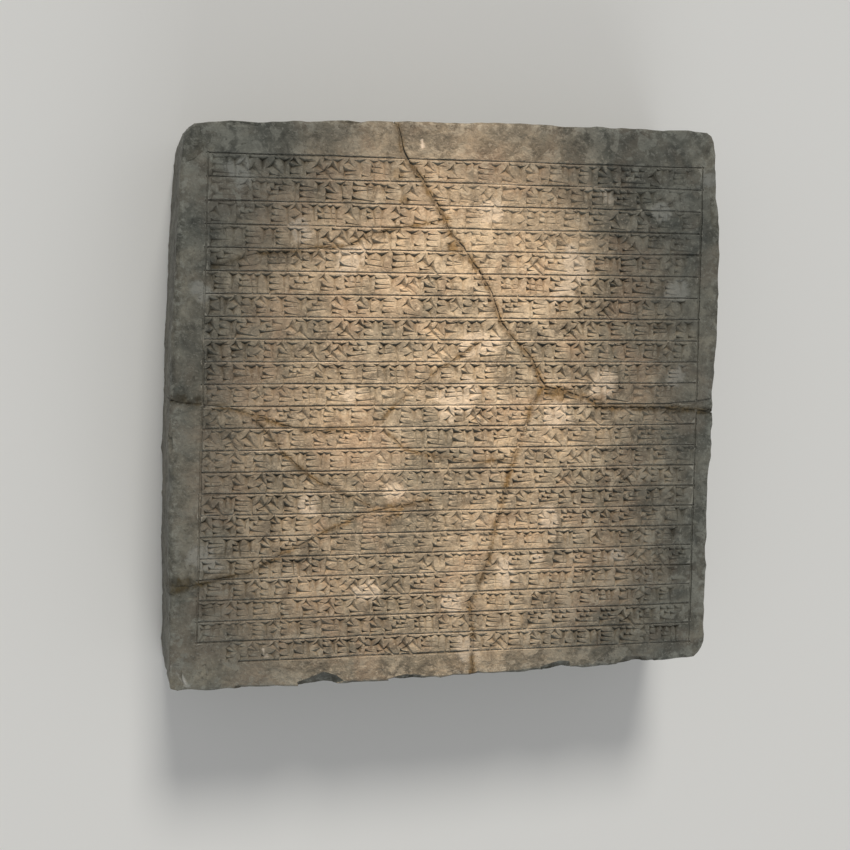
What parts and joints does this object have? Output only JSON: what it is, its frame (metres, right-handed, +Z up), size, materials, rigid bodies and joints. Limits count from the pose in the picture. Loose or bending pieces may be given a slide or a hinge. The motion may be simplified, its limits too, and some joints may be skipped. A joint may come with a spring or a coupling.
{
  "type": "inscribed stone slab",
  "caption": "Near-square inscribed foundation slab of grey veined stone, lying on its back: ruled rows of shallow wedge strokes, old cracks across the face and a chipped lower edge",
  "frame": {"origin": "under the middle of the slab, on the plane that it lies on", "axes": "+X along the rows from their start to their end, +Y from the last row towards the first, +Z up, out of the written face"},
  "size_m": [0.3339, 0.3326, 0.085],
  "materials": {
    "inscribed_slab": "smoothed by hand, matt, grey to warm buff with brown stains along the cracks"
  },
  "bodies": {
    "root": {"inscribed_slab": "inscribed_slab"}
  },
  "joints": []
}
